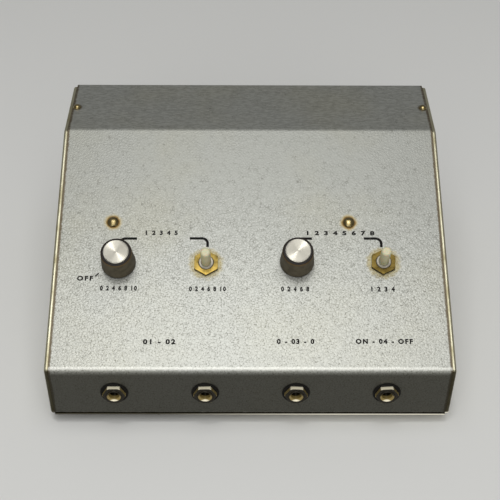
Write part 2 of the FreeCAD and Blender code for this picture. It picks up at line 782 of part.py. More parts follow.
def make_spring_line():
    web_top = "-(case_sheet + grommet_height)"
    half, wall = "tank_width / 2", "tank_sheet"
    low = f"{web_top} - tank_depth"
    channel = new_body("tank_channel")
    section = [(f"-{half}", web_top), (f"-{half}", low), (f"-{half} + {wall}", low),
               (f"-{half} + {wall}", f"{web_top} - {wall}"), (f"{half} - {wall}", f"{web_top} - {wall}"),
               (f"{half} - {wall}", low), (half, low), (half, web_top)]
    pad(channel, "channel", "YZ", [polygon(*section)], "tank_length", both_ways=True)
    holes = [circle(f"{side} * tank_bolt_span / 2", "0", "tank_bolt_radius") for side in (-1, 1)]
    pocket(channel, "screw_holes", "XY", holes, "4 * tank_sheet", start=web_top)
    place(channel, *in_tank("0", "0"))
    keep(channel)

    ends = [f"{side} * tank_bolt_span / 2" for side in (-1, 1)]
    bolt = dome_pin("tank_bolt", "tank_bolt_head", "0.55 * tank_bolt_head", "tank_bolt_radius",
                    "case_sheet + grommet_height + tank_sheet + 6")
    group("tank_bolts", [(bolt, *in_tank(end, "0"), "0") for end in ends])
    grommet = ring("grommet", "tank_bolt_radius", "grommet_radius", web_top, "-case_sheet")
    group("tank_grommets", [(grommet, *in_tank(end, "0"), "0") for end in ends])
    nut = hex_nut("tank_nut", "7", "3", "tank_bolt_radius")
    group("tank_nuts", [(nut, *in_tank(end, f"{web_top} - tank_sheet - 3"), "0") for end in ends])

    core = new_body("core")
    core_top = f"{web_top} - tank_sheet"
    c_shape = [("-5", core_top), ("-5", f"{core_top} - 13"), ("5", f"{core_top} - 13"),
               ("5", f"{core_top} - 9"), ("-1", f"{core_top} - 9"), ("-1", f"{core_top} - 4"),
               ("5", f"{core_top} - 4"), ("5", core_top)]
    pad(core, "laminations", "XZ", [polygon(*c_shape)], "14", both_ways=True)
    coil = new_body("coil")
    around = [rectangle("-8", "-9.5", "2", "9.5"), rectangle("-5", "-7", "-1", "7")]
    pad(coil, "winding", "XY", around, "4.6", start=f"{core_top} - 8.8")
    transducers = [("-transducer_span / 2", "180"), ("transducer_span / 2", "0")]
    group("transducer_cores", [(core, *in_tank(x, "0"), turned) for x, turned in transducers])
    group("transducer_coils", [(coil, *in_tank(x, "0"), turned) for x, turned in transducers])

    spring = new_body("spring")
    length = "transducer_span - 18"
    wound = [circle("0", "0", "spring_radius"), circle("0", "0", "spring_bore")]
    pad(spring, "winding", "YZ", wound, length, both_ways=True)
    springs = [(spring, on_panel("tank_shift", f"tank_rise + {side} * spring_offset",
                                 f"{web_top} - tank_depth / 2"), "panel_slope", "0") for side in (-1, 1)]
    group("reverb_springs", springs)


# ---------------------------------------------------------------------------
# Circuit board and battery, on the floor of the tray
# ---------------------------------------------------------------------------


def on_board(along, across):
    """A point on the component side of the board, counted from its middle."""
    return in_case(f"board_shift + ({along})", f"board_back + ({across})",
                   "case_sheet + pillar_height + board_sheet")


def make_board():
    board = new_body("circuit_board")
    outline = rectangle("board_shift - board_length / 2", "board_back - board_width / 2",
                        "board_shift + board_length / 2", "board_back + board_width / 2")
    holes = [circle(x, back, "case_screw_radius") for x, back in pillar_spots()]
    pad(board, "board", "XY", [outline] + holes, "board_sheet", start="case_sheet + pillar_height")
    place(board, in_case("0", "0", "0"))
    keep(board)

    pillar = ring("pillar", "case_screw_radius", "pillar_radius", "0", "pillar_height")
    group("board_pillars", [(pillar, in_case(x, back, "case_sheet"), "0", "0")
                            for x, back in pillar_spots()])
    board_screw = screw("board_screw", "case_screw_head", "1.6", "case_screw_radius",
                        "board_sheet + pillar_height + case_sheet + 0.5")
    strap_screw = screw("strap_screw", "case_screw_head", "1.6", "case_screw_radius", "6")
    fixings = [(board_screw, in_case(x, back, "case_sheet + pillar_height + board_sheet"), "0", "0")
               for x, back in pillar_spots()]
    fixings += [(strap_screw, in_case(x, back, "case_sheet + strap_sheet"), "0", "0")
                for x, back in strap_spots()]
    group("chassis_screws", fixings)

    transistor = new_body("transistor")
    turn(transistor, "can", [("0", "0"), ("2.9", "0"), ("2.9", "1"), ("2.5", "1"), ("2.5", "8.5"),
                             ("0", "8.5")])
    group("transistors", [(transistor, on_board(along, 14), "0", "0") for along in (-34, -17, 0, 17, 34)])

    electrolytic = new_body("electrolytic")
    pad(electrolytic, "can", "YZ", [circle("0", "4", "4")], "18", both_ways=True)
    group("capacitors", [(electrolytic, on_board(along, -18), "0", "0") for along in (-33, -11, 11, 33)])

    resistor = new_body("resistor")
    pad(resistor, "rod", "XZ", [circle("0", "1.6", "1.6")], "9", both_ways=True)
    group("resistors", [(resistor, on_board(-38.5 + 7 * step, 0), "0", "0") for step in range(12)])


def make_battery():
    battery = new_body("battery")
    block = pad(battery, "block", "XY", [rectangle("-battery_length / 2", "-battery_width / 2",
                                                   "battery_length / 2", "battery_width / 2")],
                "battery_height")
    fillet(battery, "corners", block, "4", lambda edge: edge.BoundBox.ZLength > 10)
    place(battery, in_case("battery_shift", "battery_back", "case_sheet"))
    keep(battery)

    strap = new_body("battery_clamp")
    inner, outer = "battery_length / 2", "(battery_length / 2 + strap_sheet)"
    band = [(f"-{outer} - strap_foot", "0"), (f"-{inner}", "0"), (f"-{inner}", "battery_height"),
            (inner, "battery_height"), (inner, "0"), (f"{outer} + strap_foot", "0"),
            (f"{outer} + strap_foot", "strap_sheet"), (outer, "strap_sheet"),
            (outer, "battery_height + strap_sheet"), (f"-{outer}", "battery_height + strap_sheet"),
            (f"-{outer}", "strap_sheet"), (f"-{outer} - strap_foot", "strap_sheet")]
    pad(strap, "band", "XZ", [polygon(*band)], "strap_width", both_ways=True)
    holes = [circle(f"{side} * ({outer} + strap_foot / 2)", "0", "case_screw_radius") for side in (-1, 1)]
    pocket(strap, "screw_holes", "XY", holes, "4 * strap_sheet")
    place(strap, in_case("battery_shift", "battery_back", "case_sheet"))
    keep(strap)

    snap = new_body("snap")
    turn(snap, "stud", [("0", "0"), ("4.5", "0"), ("4.5", "2.5"), ("2.5", "3.5"), ("0", "3.5")])
    top = "case_sheet + battery_height"
    group("battery_snaps", [(snap, in_case(f"battery_shift + {side} * 22", "battery_back - 16", top),
                             "0", "0") for side in (-1, 1)])


# ---------------------------------------------------------------------------
# Hook-up wires. Each route is a list of points in the case, chosen by hand.
# ---------------------------------------------------------------------------

WIRE_ROUTES = (
    # battery snaps to the board
    ((92, 160, 86), (92, 160, 94), (86, 149, 98), (70, 139, 86), (48, 134, 66), (26, 132, 44),
     (6, 134, 29), (-9, 143.2, 24), (-9, 143.2, 13.1)),
    ((48, 160, 86), (48, 160, 93), (42, 149, 94), (30, 138, 76), (14, 133, 52), (-2, 134, 33),
     (-16, 143.2, 23), (-16, 143.2, 13.1)),
    # switch to the board
    ((-79.3, 78.7, 42.6), (-79.3, 82.8, 33.3), (-80, 92, 25), (-79.5, 106, 20), (-79, 122, 19),
     (-78, 143.2, 22), (-78, 143.2, 13.1)),
    ((-89.3, 78.7, 42.6), (-89.3, 82.8, 33.3), (-89, 93, 24), (-88, 108, 19), (-87, 124, 18),
     (-85, 143.2, 22), (-85, 143.2, 13.1)),
    # jacks to the board
    ((-84.4, 31.5, 31.3), (-84.4, 43, 31.3), (-80, 57, 24), (-73, 73, 14), (-67, 92, 10), (-64, 116, 12),
     (-62, 143.2, 22), (-62, 143.2, 13.1)),
    ((-27.8, 31.5, 31.3), (-27.8, 43, 31.3), (-31, 57, 24), (-37, 73, 14), (-42, 92, 10), (-44, 116, 12),
     (-46, 143.2, 22), (-46, 143.2, 13.1)),
    ((28.8, 31.5, 31.3), (28.8, 43, 31.3), (24, 57, 24), (12, 73, 14), (-2, 92, 10), (-18, 116, 12),
     (-31, 143.2, 22), (-31, 143.2, 13.1)),
    ((85.4, 31.5, 31.3), (85.4, 43, 31.3), (78, 57, 24), (60, 73, 14), (38, 92, 10), (8, 116, 12),
     (-23, 143.2, 22), (-23, 143.2, 13.1)),
)


def rounded_route(points):
    """Straight runs joined by tangent arcs, each arc as large as its two runs allow."""
    corners = [Vector(*point) for point in points]
    edges = []
    start = corners[0]
    for before, corner, after in zip(corners, corners[1:], corners[2:]):
        into, out = corner - before, after - corner
        half_turn = into.getAngle(out) / 2
        cut = 0.45 * min(into.Length, out.Length)
        radius = cut / math.tan(half_turn)
        first = corner - into.normalize() * cut
        last = corner + out.normalize() * cut
        inwards = (last - corner + first - corner).normalize()
        middle = corner + inwards * (radius / math.cos(half_turn) - radius)
        edges.append(Part.LineSegment(start, first).toShape())
        edges.append(Part.Arc(first, middle, last).toShape())
        start = last
    edges.append(Part.LineSegment(start, corners[-1]).toShape())
    return Part.Wire(edges)


def make_wires():
    """The insulated wires between jacks, switch, battery and board."""
    radius = number("wire_radius")
    tubes = []
    for points in WIRE_ROUTES:
        route = rounded_route(points)
        bends = [edge.Curve.Radius for edge in route.Edges if hasattr(edge.Curve, "Radius")]
        print(f"wire of {route.Length:.0f} mm, tightest bend {min(bends):.1f} mm")
        direction = Vector(*points[1]) - Vector(*points[0])
        section = Part.Wire(Part.Circle(Vector(*points[0]), direction, radius).toShape())
        tube = route.makePipeShell([section], True, False)
        length_by_section = tube.Volume / (math.pi * radius ** 2)
        if abs(length_by_section / route.Length - 1) > 0.01:
            raise RuntimeError("a wire's tube doesn't fill its route")
        tubes.append(tube)
    wires = DOC.addObject("Part::Feature", "hookup_wires_set")
    wires.Shape = Part.makeCompound(tubes)
    place(wires, in_case("0", "0", "0"))
    return keep(wires, "hookup_wires")


# ---------------------------------------------------------------------------
# The whole unit
# ---------------------------------------------------------------------------


def build():
    make_tray()
    make_cover()
    make_case_fasteners()
    for step in CONTROL_COLUMNS:
        make_can(step)
        make_shaft(step)
        make_wiper(step)
        make_jack_frame(step)
        make_jack_leaf(step)
    make_pot_fittings()
    for step in KNOB_COLUMNS:
        make_knob(step)
    make_jack_fittings()
    make_spring_line()
    make_board()
    make_battery()
    make_wires()
    DOC.recompute()


def check():
    """Stops on any failed object or bad shape before a file is written."""
    for thing in DOC.Objects:
        if {"Invalid", "Error"} & set(thing.State):
            raise RuntimeError(f"{thing.Label} is {thing.State}")
    for label, thing in NODES.items():
        if thing.Shape.isNull() or not thing.Shape.isValid():
            raise RuntimeError(f"{label} has a bad shape")


def write():
    os.makedirs("parts", exist_ok=True)
    for label, thing in NODES.items():
        thing.Shape.exportStep(f"parts/{label}.step")


build()
check()
write()
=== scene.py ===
"""Looks of a spring reverb unit: a sloping desk case of folded steel in hammered silver enamel,
with four controls on the slope, four jacks along the front and its works inside."""
import json
import math

import bmesh
import bpy
from mathutils import Matrix, Vector


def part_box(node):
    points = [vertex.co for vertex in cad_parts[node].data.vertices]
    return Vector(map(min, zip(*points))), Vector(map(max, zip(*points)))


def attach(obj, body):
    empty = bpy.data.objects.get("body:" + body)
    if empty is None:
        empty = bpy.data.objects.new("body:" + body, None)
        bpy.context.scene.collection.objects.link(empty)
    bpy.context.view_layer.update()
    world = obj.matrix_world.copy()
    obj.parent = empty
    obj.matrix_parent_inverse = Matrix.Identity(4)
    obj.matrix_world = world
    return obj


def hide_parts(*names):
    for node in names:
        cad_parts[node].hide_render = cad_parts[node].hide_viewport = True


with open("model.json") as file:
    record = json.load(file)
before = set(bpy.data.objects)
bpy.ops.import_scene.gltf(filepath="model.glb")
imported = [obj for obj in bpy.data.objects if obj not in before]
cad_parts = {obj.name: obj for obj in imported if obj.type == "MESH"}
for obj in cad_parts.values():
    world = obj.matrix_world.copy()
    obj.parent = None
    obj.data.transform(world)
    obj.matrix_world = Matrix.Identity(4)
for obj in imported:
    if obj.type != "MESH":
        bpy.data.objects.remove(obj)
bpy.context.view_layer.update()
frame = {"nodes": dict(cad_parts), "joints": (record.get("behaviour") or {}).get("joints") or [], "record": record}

MM = 0.001
# which controls have a knob, and which a bare shaft
KNOBBED = (1, 3)
BARE = (2, 4)

# sizes that aren't read from the frame, in millimetres
TOP_HEIGHT = 118.0
BOLT_RISE = 102.2
BOLT_HEAD = 3.7
RIVET_HEAD = 2.75
KNOB_TOP = 16.7
# how far up the slope the painted highlight on the front bend lies
BEND_HIGHLIGHT_RISE = 2.24


def box_mm(node):
    """The lowest and the highest corner of a node, in millimetres."""
    return [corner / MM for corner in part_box(node)]


cover_low, cover_high = box_mm("top_cover")
tray_low, tray_high = box_mm("base_tray")
FRONT_FACE = cover_low.y
COVER_HALF = cover_high.x
COVER_FOOT = cover_low.z
TRAY_HALF = tray_high.x
TRAY_FOOT = tray_low.z

# a control turns about the panel's normal, and its hinge starts on the face of the panel
hinges = {joint["child"]: joint for joint in frame["joints"]}
PANEL_NORMAL = -Vector(hinges["control_1"]["axis"])
SLOPE = math.atan2(-PANEL_NORMAL.y, PANEL_NORMAL.z)
seats = {step: Vector(hinges[f"control_{step}"]["pos_m"]) / MM for step in (1, 2, 3, 4)}
FRONT_BEND = seats[1].z - (seats[1].y - FRONT_FACE) * math.tan(SLOPE)
# X of each control, and how far up the slope from the front bend it stands
CONTROLS = {step: (seat.x, (seat.y - FRONT_FACE) / math.cos(SLOPE)) for step, seat in seats.items()}

bores = [mount["pos_m"] for mount in frame["record"]["mounts"] if mount["kind"] == "bore"]
JACKS = {step: bore[0] / MM for step, bore in enumerate(bores, 1)}
JACK_HEIGHT = bores[0][2] / MM
# how far the washer and the nut of a jack stand out from the front
WASHER = FRONT_FACE - box_mm("jack_washers")[0].y
JACK_NUT_FACE = FRONT_FACE - box_mm("jack_nuts")[0].y

bolts_low, bolts_high = box_mm("tank_bolts")
BOLTS = ((bolts_low.x + BOLT_HEAD, BOLT_RISE), (bolts_high.x - BOLT_HEAD, BOLT_RISE))
rivets_low, rivets_high = box_mm("cover_top_rivets")
RIVET_ROW = (rivets_low.y + rivets_high.y) / 2
RIVETS = ((rivets_low.x + RIVET_HEAD, RIVET_ROW, TOP_HEIGHT),
          (rivets_high.x - RIVET_HEAD, RIVET_ROW, TOP_HEIGHT))


def on_panel(x, rise, out=0.0):
    """A point of the sloping panel: rise up the slope from the front bend, out along its normal."""
    back = rise * math.cos(SLOPE) - out * math.sin(SLOPE)
    up = rise * math.sin(SLOPE) + out * math.cos(SLOPE)
    return Vector((x, FRONT_FACE + back, FRONT_BEND + up)) * MM


def panel_place(x, rise, turn=0.0):
    """Puts a piece made on Z = 0 on the panel, turned by degrees about the panel's normal."""
    turned_about = Matrix.Rotation(math.radians(turn), 4, "Z")
    return Matrix.Translation(on_panel(x, rise)) @ Matrix.Rotation(SLOPE, 4, "X") @ turned_about


def on_front(x, height):
    return Vector((x, FRONT_FACE, height)) * MM


def jack_place(x, out, turn=0.0):
    """Puts a piece made on Z = 0 out from the front face, with its Z out of the jack's mouth."""
    turned_about = Matrix.Rotation(math.radians(turn), 4, "Z")
    spot = on_front(x, JACK_HEIGHT) - Vector((0.0, out * MM, 0.0))
    return Matrix.Translation(spot) @ Matrix.Rotation(math.radians(90), 4, "X") @ turned_about


# ---------------------------------------------------------------------------
# Finishes
# ---------------------------------------------------------------------------


def linear(code):
    """An sRGB hex colour as linear red, green, blue and full alpha."""
    parts = [int(code[step:step + 2], 16) / 255 for step in (1, 3, 5)]
    return [part / 12.92 if part <= 0.04045 else ((part + 0.055) / 1.055) ** 2.4
            for part in parts] + [1.0]


def add(tree, kind, sockets=None, out=0, **settings):
    """Adds a node and gives one of its outputs. A socket takes another output or a plain value."""
    node = tree.nodes.new("ShaderNode" + kind)
    for name, value in settings.items():
        setattr(node, name, value)
    for name, value in (sockets or {}).items():
        if isinstance(value, bpy.types.NodeSocket):
            tree.links.new(value, node.inputs[name])
        else:
            node.inputs[name].default_value = value
    return node.outputs[out]


def start_finish(name, colour, metallic, roughness, **constants):
    """A material with one Principled shader, its node tree, that shader and Object coordinates."""
    material = bpy.data.materials.new(name)
    material.use_nodes = True
    tree = material.node_tree
    shader = tree.nodes["Principled BSDF"]
    values = {"Base Color": linear(colour), "Metallic": metallic, "Roughness": roughness}
    values.update({socket.replace("_", " "): value for socket, value in constants.items()})
    for socket, value in values.items():
        shader.inputs[socket].default_value = value
    return material, tree, shader, add(tree, "TexCoord", out="Object")


def per_metre(millimetres):
    """The scale of a pattern on Object coordinates whose cells are this wide."""
    return 1.0 / (millimetres * MM)


def nearest(tree, coords, spots):
    """How far the nearest of several fittings is."""
    closest = None
    for spot in spots:
        away = add(tree, "VectorMath", {0: coords, 1: spot}, out=1, operation="DISTANCE")
        closest = away if closest is None else add(tree, "Math", {0: closest, 1: away}, operation="MINIMUM")
    return closest


def ragged(tree, distance, blots, wander_mm):
    """A distance that wanders by blots, so that the edge of a stain isn't a clean circle."""
    swing = add(tree, "Math", {0: blots, 1: 0.5}, operation="SUBTRACT")
    return add(tree, "Math", {0: swing, 1: wander_mm * MM, 2: distance}, operation="MULTIPLY_ADD")


def stain(tree, under, distance, solid_mm, faded_mm, amount, code):
    """A stain on the colour under: solid up to one distance and faded out at another."""
    reach = {"Value": distance, "From Min": solid_mm * MM, "From Max": faded_mm * MM,
             "To Min": amount, "To Max": 0.0}
    strength = add(tree, "MapRange", reach, interpolation_type="SMOOTHSTEP")
    return add(tree, "Mix", {0: strength, 6: under, 7: linear(code)}, out=2, data_type="RGBA")


def specks(tree, under, pattern, low, high, amount, code):
    """Specks on the colour under, wherever a pattern rises from low to high."""
    rise = {"Value": pattern, "From Min": low, "From Max": high, "To Min": 0.0, "To Max": amount}
    strength = add(tree, "MapRange", rise, interpolation_type="SMOOTHSTEP")
    return add(tree, "Mix", {0: strength, 6: under, 7: linear(code)}, out=2, data_type="RGBA")


def surface(tree, shader, colour, height, depth_mm, strength):
    """Gives the shader its colour, and raises its surface by a pattern of a real depth."""
    bump = add(tree, "Bump", {"Height": height, "Strength": strength, "Distance": depth_mm * MM})
    tree.links.new(colour, shader.inputs["Base Color"])
    tree.links.new(bump, shader.inputs["Normal"])


def enamel_seams(tree, coords):
    """How far a point is from the seams between cells 2 mm wide, which wander by up to 0.8 mm."""
    wander = add(tree, "TexNoise", {"Vector": coords, "Scale": per_metre(1.6), "Detail": 2.0}, out=1)
    drawn = add(tree, "VectorMath", {0: wander, 1: (0.8 * MM, 0.8 * MM, 0.8 * MM), 2: coords},
                operation="MULTIPLY_ADD")
    return add(tree, "TexVoronoi", {"Vector": drawn, "Scale": per_metre(2.0)}, feature="DISTANCE_TO_EDGE")


def enamel_tone(tree, coords, seam, grain):
    """The grey of the flake with faint tan clouds, dark seams, pale crowns and a few dark pits."""
    clouds = add(tree, "TexNoise", {"Vector": coords, "Scale": per_metre(70), "Detail": 3.0})
    colour = specks(tree, linear("#91928c"), clouds, 0.4, 0.7, 0.35, "#93907c")

    # the dark seams and pale crowns are stronger low on the slope and fainter towards the back
    back = add(tree, "SeparateXYZ", {0: coords}, out=1)
    toward_front = add(tree, "MapRange", {"Value": back, "From Min": -100 * MM, "From Max": 30 * MM,
                                     "To Min": 1.45, "To Max": 0.7})
    seams = add(tree, "MapRange", {"Value": seam, "From Min": 0.02, "From Max": 0.16,
                                   "To Min": 1.0, "To Max": 0.0})
    patches = add(tree, "TexNoise", {"Vector": coords, "Scale": per_metre(4.0), "Detail": 2.0})
    broken = add(tree, "Math", {0: seams, 1: patches}, operation="MULTIPLY")
    broken = add(tree, "Math", {0: broken, 1: toward_front}, operation="MULTIPLY")
    colour = specks(tree, colour, broken, 0.24, 0.62, 0.6, "#4f4e45")
    crowns = add(tree, "Math", {0: grain, 1: toward_front}, operation="MULTIPLY")
    colour = specks(tree, colour, crowns, 0.42, 0.75, 0.42, "#c6c7c0")

    # pits about 0.7 mm wide, one to every few square centimetres
    apart = 7.0
    pits = add(tree, "TexVoronoi", {"Vector": coords, "Scale": per_metre(apart)})
    from_pit = add(tree, "Math", {0: pits, 1: apart * MM}, operation="MULTIPLY")
    return stain(tree, colour, from_pit, 0.21, 0.49, 0.55, "#4a4238")


def dirt_round_fittings(tree, coords, colour, blots):
    """Brown wash round the bare controls, rust round bolts and rivets, a dark line round the jacks."""
    to_control = nearest(tree, coords, [on_panel(*CONTROLS[step]) for step in BARE])
    colour = stain(tree, colour, ragged(tree, to_control, blots, 6.0), 8.2, 12.5, 0.6, "#8f8149")
    # crumbs of it are caked in a ring just outside the nut
    crumbs = add(tree, "TexNoise", {"Vector": coords, "Scale": per_metre(1.2), "Detail": 3.0})
    ring = add(tree, "Math", {0: to_control, 1: 9.4 * MM, 2: 0.9 * MM}, operation="COMPARE")
    crust = add(tree, "Math", {0: ring, 1: crumbs}, operation="MULTIPLY")
    colour = specks(tree, colour, crust, 0.52, 0.62, 0.6, "#6e5c30")

    to_bolt = nearest(tree, coords, [on_panel(*spot) for spot in BOLTS])
    colour = stain(tree, colour, ragged(tree, to_bolt, blots, 2.4), 3.6, 6.8, 0.7, "#9c8640")
    colour = stain(tree, colour, ragged(tree, to_bolt, blots, 1.4), 3.9, 5.1, 0.9, "#5f4517")
    to_rivet = nearest(tree, coords, [Vector(spot) * MM for spot in RIVETS])
    colour = stain(tree, colour, ragged(tree, to_rivet, blots, 0.8), 2.9, 4.2, 0.7, "#4d3f28")
    to_jack = nearest(tree, coords, [on_front(x, JACK_HEIGHT) for x in JACKS.values()])
    return stain(tree, colour, to_jack, 8.6, 9.4, 0.5, "#14120c")


def edge_dirt_and_front_shade(tree, coords, colour, blots):
    """A dark brown line along the side edges, partly dirt and partly painted shade of the gap to the cheeks, and
    painted shade over the front and up its bend.
    """
    across = add(tree, "Math", {0: add(tree, "SeparateXYZ", {0: coords})}, operation="ABSOLUTE")
    from_edge = add(tree, "Math", {0: COVER_HALF * MM, 1: across}, operation="SUBTRACT")
    # partly dirt and partly painted shade: a dark brown line where the cover meets the cheeks
    colour = stain(tree, colour, ragged(tree, from_edge, blots, 1.2), 0.7, 1.8, 0.85, "#4b3c20")
    back = add(tree, "SeparateXYZ", {0: coords}, out=1)
    height = add(tree, "SeparateXYZ", {0: coords}, out=2)
    in_front = add(tree, "Math", {0: back, 1: FRONT_FACE * MM}, operation="SUBTRACT")
    # up the bend the painted shade thins more slowly than back from the face, between 44 and 51 mm high
    counted_from = 42.3
    pace = 0.3
    up_bend = add(tree, "Math", {0: height, 1: pace, 2: -pace * counted_from * MM}, operation="MULTIPLY_ADD")
    front_shade = add(tree, "Math", {0: in_front, 1: up_bend}, operation="MAXIMUM")
    # painted shade: the front face and its bend darkened to a dark olive
    return stain(tree, colour, front_shade, 0.6, 2.6, 0.84, "#242113")


def painted_ripple_light(tree, coords, colour):
    """Ripples about 3 mm long across the flat top, painted with highlights on their crests and shade in their
    troughs.
    """
    drawn_out = add(tree, "Mapping", {"Vector": coords, "Scale": (0.36, 1.0, 1.0)})
    ripples = add(tree, "TexNoise", {"Vector": drawn_out, "Scale": per_metre(1.2), "Detail": 2.0})
    height = add(tree, "SeparateXYZ", {0: coords}, out=2)
    on_flat = add(tree, "MapRange", {"Value": height, "From Min": (TOP_HEIGHT - 0.7) * MM,
                                      "From Max": (TOP_HEIGHT - 0.3) * MM})
    lit_crests = add(tree, "Math", {0: ripples, 1: on_flat}, operation="MULTIPLY")
    shaded_troughs = add(tree, "Math", {0: on_flat, 1: lit_crests}, operation="SUBTRACT")
    # painted highlight on the crests, then painted shade in the troughs
    colour = specks(tree, colour, lit_crests, 0.44, 0.7, 0.16, "#c9cbc3")
    return specks(tree, colour, shaded_troughs, 0.48, 0.7, 0.16, "#4c4e47")


def painted_edge_highlights(tree, coords, colour, blots):
    """A painted highlight along the front bend, and a pale painted highlight along the cover's lower edge."""
    side_on = add(tree, "VectorMath", {0: coords, 1: (0.0, 1.0, 1.0)}, operation="MULTIPLY")
    to_bend = nearest(tree, side_on, [on_panel(0.0, BEND_HIGHLIGHT_RISE)])
    # painted highlight on the front bend
    colour = stain(tree, colour, ragged(tree, to_bend, blots, 1.2), 0.4, 1.6, 0.35, "#e4e4dc")
    height = add(tree, "SeparateXYZ", {0: coords}, out=2)
    up_front = add(tree, "Math", {0: height, 1: COVER_FOOT * MM}, operation="SUBTRACT")
    # painted highlight along the lower edge
    return stain(tree, colour, ragged(tree, up_front, blots, 1.6), 0.3, 1.1, 0.8, "#d4d1c4")


# Hammered stove enamel: aluminium flake in grey lacquer draws up into shallow round cells about
# 2 mm wide with fine dark seams between them, so it shines softly and its tone is mottled.
def hammered_enamel():
    material, tree, shader, coords = start_finish("hammered_stove_enamel", "#91928c", 0.72, 0.47)
    seam = enamel_seams(tree, coords)
    grain = add(tree, "TexNoise", {"Vector": coords, "Scale": per_metre(0.9), "Detail": 2.0})
    blots = add(tree, "TexNoise", {"Vector": coords, "Scale": per_metre(3.0), "Detail": 4.0})
    colour = enamel_tone(tree, coords, seam, grain)
    colour = dirt_round_fittings(tree, coords, colour, blots)
    colour = edge_dirt_and_front_shade(tree, coords, colour, blots)
    colour = painted_ripple_light(tree, coords, colour)
    colour = painted_edge_highlights(tree, coords, colour, blots)
    drawn_up = add(tree, "MapRange", {"Value": seam, "From Min": 0.0, "From Max": 0.4},
                   interpolation_type="SMOOTHSTEP")
    cells = add(tree, "Math", {0: grain, 1: 0.5, 2: drawn_up}, operation="MULTIPLY_ADD")
    surface(tree, shader, colour, cells, 0.07, 0.5)
    return material


def painted_foot_highlight(tree, shader, coords, colour):
    """The tray's lower edge, made less metallic and painted pale as a highlight, more so to the right."""
    up = add(tree, "SeparateXYZ", {0: coords}, out=2)
    aside = add(tree, "SeparateXYZ", {0: coords})
    low = add(tree, "MapRange", {"Value": up, "From Min": (TRAY_FOOT + 0.8) * MM,
                                 "From Max": (TRAY_FOOT + 1.2) * MM, "To Min": 1.0, "To Max": 0.0})
    rightward = add(tree, "MapRange", {"Value": aside, "From Min": -60 * MM, "From Max": 70 * MM,
                                       "To Min": 0.15, "To Max": 1.0})
    lit_line = add(tree, "Math", {0: low, 1: rightward}, operation="MULTIPLY")
    tree.links.new(add(tree, "MapRange", {"Value": low, "To Min": 1.0, "To Max": 0.25}),
                   shader.inputs["Metallic"])
    # painted highlight along the lower edge
    return specks(tree, colour, lit_line, 0.0, 1.0, 1.0, "#f6f1de")


# Zinc plate passivated yellow: a straw-coloured metal, brown where dirt has lodged in it, with painted shade on
# its fronts and a painted highlight along its lower edge.
def passivated_zinc():
    material, tree, shader, coords = start_finish("yellow_passivated_zinc", "#b3ac86", 1.0, 0.36)
    streaked = add(tree, "Mapping", {"Vector": coords, "Scale": (1.0, 0.3, 1.0)})
    dirt = add(tree, "TexNoise", {"Vector": streaked, "Scale": per_metre(7), "Detail": 5.0})
    grain = add(tree, "TexNoise", {"Vector": coords, "Scale": per_metre(0.8), "Detail": 2.0})
    clouds = add(tree, "TexNoise", {"Vector": coords, "Scale": per_metre(45), "Detail": 6.0})
    across = add(tree, "Math", {0: add(tree, "SeparateXYZ", {0: coords})}, operation="ABSOLUTE")
    # the rims take the dirt, and the outer faces only cloud over
    on_rim = add(tree, "MapRange", {"Value": across, "From Min": (TRAY_HALF - 0.6) * MM,
                                    "From Max": (TRAY_HALF - 0.2) * MM, "To Min": 1.0, "To Max": 0.72})
    lodged = add(tree, "Math", {0: dirt, 1: on_rim}, operation="MULTIPLY")
    colour = specks(tree, linear("#c8c4ab"), clouds, 0.4, 0.75, 0.45, "#a49c7c")
    colour = specks(tree, colour, lodged, 0.42, 0.72, 0.7, "#857a55")
    colour = specks(tree, colour, grain, 0.55, 0.75, 0.3, "#8a8058")
    # a dark line along the cover, partly packed dirt and partly painted shade of the gap, and painted shade over
    # the fronts of the cheeks
    from_cover = add(tree, "Math", {0: across, 1: COVER_HALF * MM}, operation="SUBTRACT")
    colour = stain(tree, colour, ragged(tree, from_cover, dirt, 1.2), 0.3, 1.2, 0.85, "#3b301a")
    back = add(tree, "SeparateXYZ", {0: coords}, out=1)
    in_front = add(tree, "Math", {0: back, 1: FRONT_FACE * MM}, operation="SUBTRACT")
    # painted shade: the fronts of the cheeks darkened almost to black
    colour = stain(tree, colour, in_front, 1.6, 3.0, 0.92, "#2b2613")
    colour = painted_foot_highlight(tree, shader, coords, colour)
    tree.links.new(add(tree, "MapRange", {"Value": dirt, "From Min": 0.3, "From Max": 0.7,
                                          "To Min": 0.3, "To Max": 0.5}), shader.inputs["Roughness"])
    surface(tree, shader, colour, grain, 0.02, 0.5)
    return material


def worn_finish(name, colour, worn, metallic, roughness, patch_mm, grain_mm, depth_mm, **constants):
    """A finish whose tone drifts to its worn colour in patches, over a fine grain of a real depth."""
    material, tree, shader, coords = start_finish(name, colour, metallic, roughness, **constants)
    patches = add(tree, "TexNoise", {"Vector": coords, "Scale": per_metre(patch_mm), "Detail": 4.0})
    grain = add(tree, "TexNoise", {"Vector": coords, "Scale": per_metre(grain_mm), "Detail": 3.0})
    tree.links.new(add(tree, "MapRange", {"Value": patches, "From Min": 0.3, "From Max": 0.7,
                                          "To Min": roughness * 0.85, "To Max": roughness * 1.3}),
                   shader.inputs["Roughness"])
    surface(tree, shader, specks(tree, linear(colour), patches, 0.38, 0.68, 1.0, worn), grain,
            depth_mm, 0.5)
    return material


def height_on_panel(tree, coords):
    """How far a point stands out from the face of the panel, in metres."""
    along = add(tree, "VectorMath", {0: coords, 1: PANEL_NORMAL}, out=1, operation="DOT_PRODUCT")
    return add(tree, "Math", {0: along, 1: on_panel(0.0, 0.0).dot(PANEL_NORMAL)}, operation="SUBTRACT")


